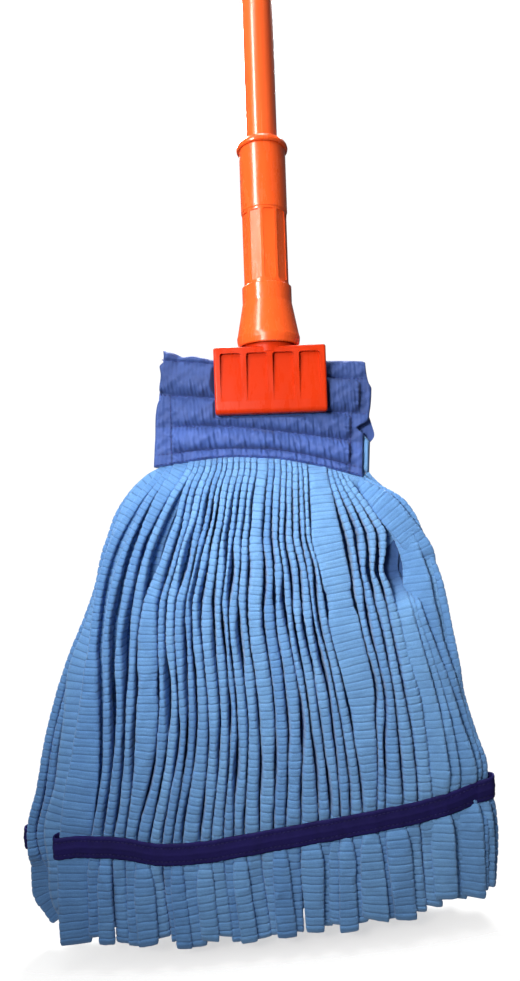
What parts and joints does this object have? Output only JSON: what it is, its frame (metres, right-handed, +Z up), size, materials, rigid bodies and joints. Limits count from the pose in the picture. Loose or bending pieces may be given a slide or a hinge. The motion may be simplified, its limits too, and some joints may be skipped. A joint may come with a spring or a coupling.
{
  "type": "string mop",
  "caption": "Wet mop: flat knitted tube strips in a quilted headband with tail tapes, held by a twist-collar jaw clamp on a fibreglass handle",
  "frame": {"origin": "centre of the hanging hole in the cap at the top of the handle", "axes": "+Z up along the handle, +X to the right of the mop seen from the front, front of the mop towards -Y"},
  "size_m": [0.3749, 0.0572, 1.9944],
  "materials": {
    "handle_fibreglass": "pigmented fibreglass tube, glossy",
    "cap_plastic": "moulded plastic",
    "core_plastic": "moulded nylon core",
    "collar_plastic": "moulded plastic, satin gloss",
    "jaw_plastic": "moulded plastic, satin gloss",
    "washer_plastic": "natural acetal",
    "pin_steel": "drawn steel",
    "ring_steel": "spring steel",
    "headband_mesh": "quilted ribbed polyester",
    "microfibre": "ribbed knitted microfibre tube",
    "tail_tape": "woven tape, two stitch rows"
  },
  "bodies": {
    "handle": {"handle_tube": "handle_fibreglass", "hang_cap": "cap_plastic", "clamp_stem": "core_plastic", "stem_rivet": "pin_steel", "jaw_pins": "pin_steel"},
    "bell": {"collar_bell": "collar_plastic", "snap_ring": "ring_steel", "thrust_washer": "washer_plastic"},
    "sleeve": {"collar_sleeve": "collar_plastic"},
    "front_jaw": {"jaw_front": "jaw_plastic"},
    "rear_jaw": {"jaw_rear": "jaw_plastic"},
    "mop_head": {"headband_front": "headband_mesh", "headband_rear": "headband_mesh", "headband_core": "microfibre", "tail_band_front": "tail_tape", "tail_band_rear": "tail_tape", "strips_front_1": "microfibre", "strips_front_2": "microfibre", "strips_front_3": "microfibre", "strips_front_4": "microfibre", "strips_front_5": "microfibre", "strips_rear_1": "microfibre", "strips_rear_2": "microfibre", "strips_rear_3": "microfibre", "strips_rear_4": "microfibre", "strips_rear_5": "microfibre"}
  },
  "joints": [
    {"name": "collar_slide", "type": "slide", "parent": "handle", "child": "bell", "axis": [0, 0, 1], "range_m": [0, 0.018]},
    {"name": "collar_turn", "type": "hinge", "parent": "bell", "child": "sleeve", "pos_m": [0, 0, -1.408], "axis": [0, 0, 1], "range_deg": [0, 270]},
    {"name": "jaw_front_hinge", "type": "hinge", "parent": "handle", "child": "front_jaw", "pos_m": [0, -0.0055, -1.476], "axis": [-1, 0, 0], "range_deg": [0, 15]},
    {"name": "jaw_rear_hinge", "type": "hinge", "parent": "handle", "child": "rear_jaw", "pos_m": [0, 0.0055, -1.476], "axis": [1, 0, 0], "range_deg": [0, 15]},
    {"name": "mop_release", "type": "slide", "parent": "handle", "child": "mop_head", "axis": [0, 0, -1], "range_m": [0, 0.1]}
  ],
  "couplings": [
    {"joint": "collar_turn", "follows": "collar_slide", "rad_per_m": 261.79},
    {"joint": "jaw_front_hinge", "follows": "collar_slide", "rad_per_m": 14.54},
    {"joint": "jaw_rear_hinge", "follows": "collar_slide", "rad_per_m": 14.54}
  ]
}
